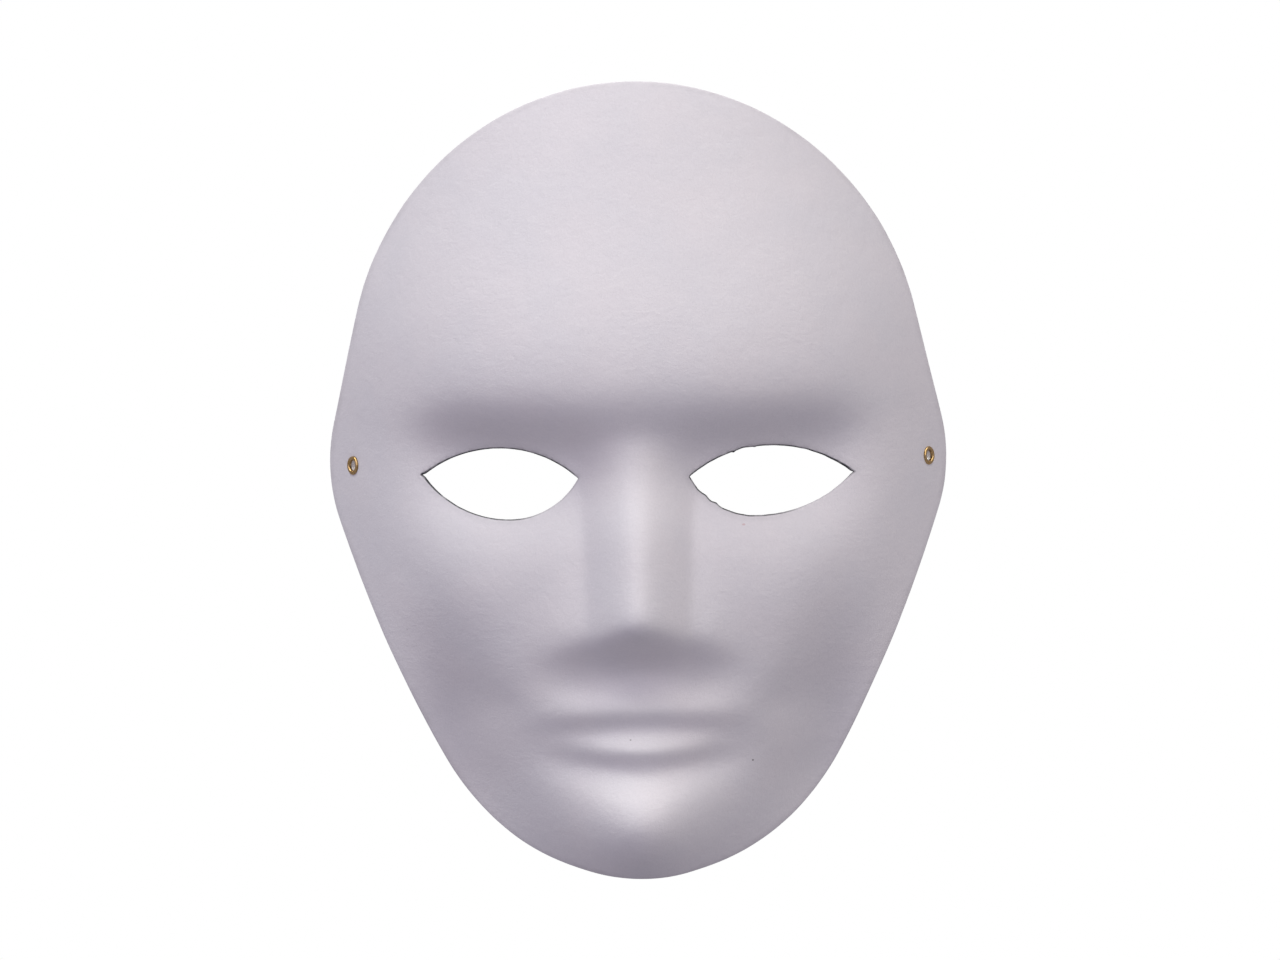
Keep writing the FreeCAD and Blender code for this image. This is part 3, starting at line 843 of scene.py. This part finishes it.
def brass():
    """Drawn brass plating, darkened brown in its folds by tarnish and painted shade, that thins to pale
    metal in the barrel.
    """
    made, tree, shader = new_material("eyelet_brass")
    place = coordinates(tree)
    cloud = lumps(tree, place, 1.3, detail=3.0)
    fine = lumps(tree, place, 0.25, detail=3.0)
    colour = blend(tree, remap(tree, cloud, (0.35, 0.65), (0.0, 1.0)), BRASS_BRIGHT, BRASS_DULL)
    # Tarnish and painted shade darken the flange's foot and the barrel's throat.
    tarnish_and_shade = times(tree, stored(tree, "fold_tarnish_and_shade"), remap(tree, cloud, (0.25, 0.6), (0.5, 0.9)))
    colour = blend(tree, tarnish_and_shade, colour, TARNISH_AND_SHADE)
    colour = blend(tree, stored(tree, "bare"), colour, BARE_METAL)
    tree.links.new(colour, shader.inputs["Base Color"])
    tree.links.new(remap(tree, stored(tree, "bare"), (0.0, 1.0), (1.0, 0.3)), shader.inputs["Metallic"])
    tree.links.new(remap(tree, fine, NOISE_RANGE, (0.2, 0.38)), shader.inputs["Roughness"])
    tree.links.new(bump(tree, fine, rise=0.015), shader.inputs["Normal"])
    return made


def stand_in(piece, node_name):
    """Have a piece take a CAD node's place on the mask's one rigid body."""
    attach(piece, "root")
    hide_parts(node_name)


shell = make_shell()
for finish in (pulp_front(), pulp_back(), pulp_cut()):
    shell.data.materials.append(finish)
stand_in(shell, "mask_shell")

eyelet_brass = brass()
for side, (seat, axis) in eyelet_frames().items():
    for piece, node_name in (
        (make_eyelet(side, seat, axis), f"eyelet_{side}"),
        (make_washer(side, seat, axis), f"eyelet_washer_{side}"),
    ):
        piece.data.materials.append(eyelet_brass)
        stand_in(piece, node_name)

# Camera: yaw and roll of the viewpoint, and its distance from the rim plane, in metres.
DISTANCE = 2.0
YAW = math.radians(0.5)
ROLL = math.radians(1.0)
PICTURE_WIDTH = 0.395
AIM = Vector((0.0005, 0.0, -0.006))
SENSOR = 36.0

camera = bpy.data.objects.new("camera", bpy.data.cameras.new("camera"))
camera.data.sensor_width = SENSOR
camera.data.lens = SENSOR * DISTANCE / PICTURE_WIDTH
camera.matrix_world = (
    Matrix.Translation(AIM)
    @ Matrix.Rotation(YAW, 4, "Z")
    @ Matrix.Translation((0, -DISTANCE, 0))
    @ Matrix.Rotation(math.pi / 2, 4, "X")
    @ Matrix.Rotation(-ROLL, 4, "Z")
)
bpy.context.scene.collection.objects.link(camera)
bpy.context.scene.camera = camera


FLOOR_SIZE = 3.6
FLOOR_HEIGHT = -0.35


def make_floor(size, height):
    """A plain pale floor, well below the mask, that throws no light back up at it."""
    half = size / 2
    corners = [(-half, -half, height), (half, -half, height), (half, half, height), (-half, half, height)]
    mesh = bpy.data.meshes.new("floor")
    mesh.from_pydata(corners, [], [(0, 1, 2, 3)])
    finish, _, shader = new_material("floor_white")
    shader.inputs["Base Color"].default_value = grey(0.85)
    shader.inputs["Roughness"].default_value = 0.8
    mesh.materials.append(finish)
    floor = bpy.data.objects.new("floor", mesh)
    floor.visible_diffuse = False
    floor.visible_glossy = False
    bpy.context.scene.collection.objects.link(floor)


def make_world(fill, colour):
    """A surround that the camera sees as pure white, and that lights the mask faintly in a colour."""
    world = bpy.data.worlds.new("studio")
    bpy.context.scene.world = world
    world.use_nodes = True
    tree = world.node_tree
    background = tree.nodes["Background"]
    seen = add(tree, "LightPath").outputs["Is Camera Ray"]
    feed(tree, background.inputs["Color"], blend(tree, seen, colour, grey(1.0)))
    feed(tree, background.inputs["Strength"], remap(tree, seen, (0.0, 1.0), (fill, 1.0)))


# Lights: degrees round from straight ahead (positive to the right), degrees up, watts and colour.
LIGHT_DISTANCE = 1.8
LIGHT_SIZE = 0.9
LIGHTS = {
    "left_front": (-38, 20, 5.3, (0.93, 0.87, 1.0)),
    "right_front": (38, 20, 5.9, (1.0, 0.96, 0.95)),
    "left_high": (-38, 52, 5.5, (0.99, 1.0, 0.94)),
    "right_high": (38, 52, 4.1, (1.0, 1.0, 0.78)),
    "left_side": (-75, 60, 9.0, (0.96, 1.0, 0.93)),
    "right_side": (75, 60, 5.3, (1.0, 0.97, 0.92)),
    "behind": (180, 30, 14.0, (1.0, 1.0, 1.0)),
}
WORLD_FILL = 0.3
WORLD_COLOUR = (0.93, 0.885, 1.0, 1.0)


def make_light(name, around, above, power, colour):
    """A soft round light aimed at the mask."""
    data = bpy.data.lights.new(name, "AREA")
    data.shape = "DISK"
    data.size = LIGHT_SIZE
    data.energy = power
    data.color = colour
    light = bpy.data.objects.new(name, data)
    aside = math.radians(around)
    up = math.radians(above)
    place = Vector((math.sin(aside) * math.cos(up), -math.cos(aside) * math.cos(up), math.sin(up)))
    light.location = place * LIGHT_DISTANCE
    light.rotation_euler = (-place).to_track_quat("-Z", "Y").to_euler()
    bpy.context.scene.collection.objects.link(light)


make_floor(FLOOR_SIZE, FLOOR_HEIGHT)
make_world(WORLD_FILL, WORLD_COLOUR)
for name, (around, above, power, colour) in LIGHTS.items():
    make_light(name, around, above, power, colour)

bpy.context.scene.view_settings.view_transform = "Standard"
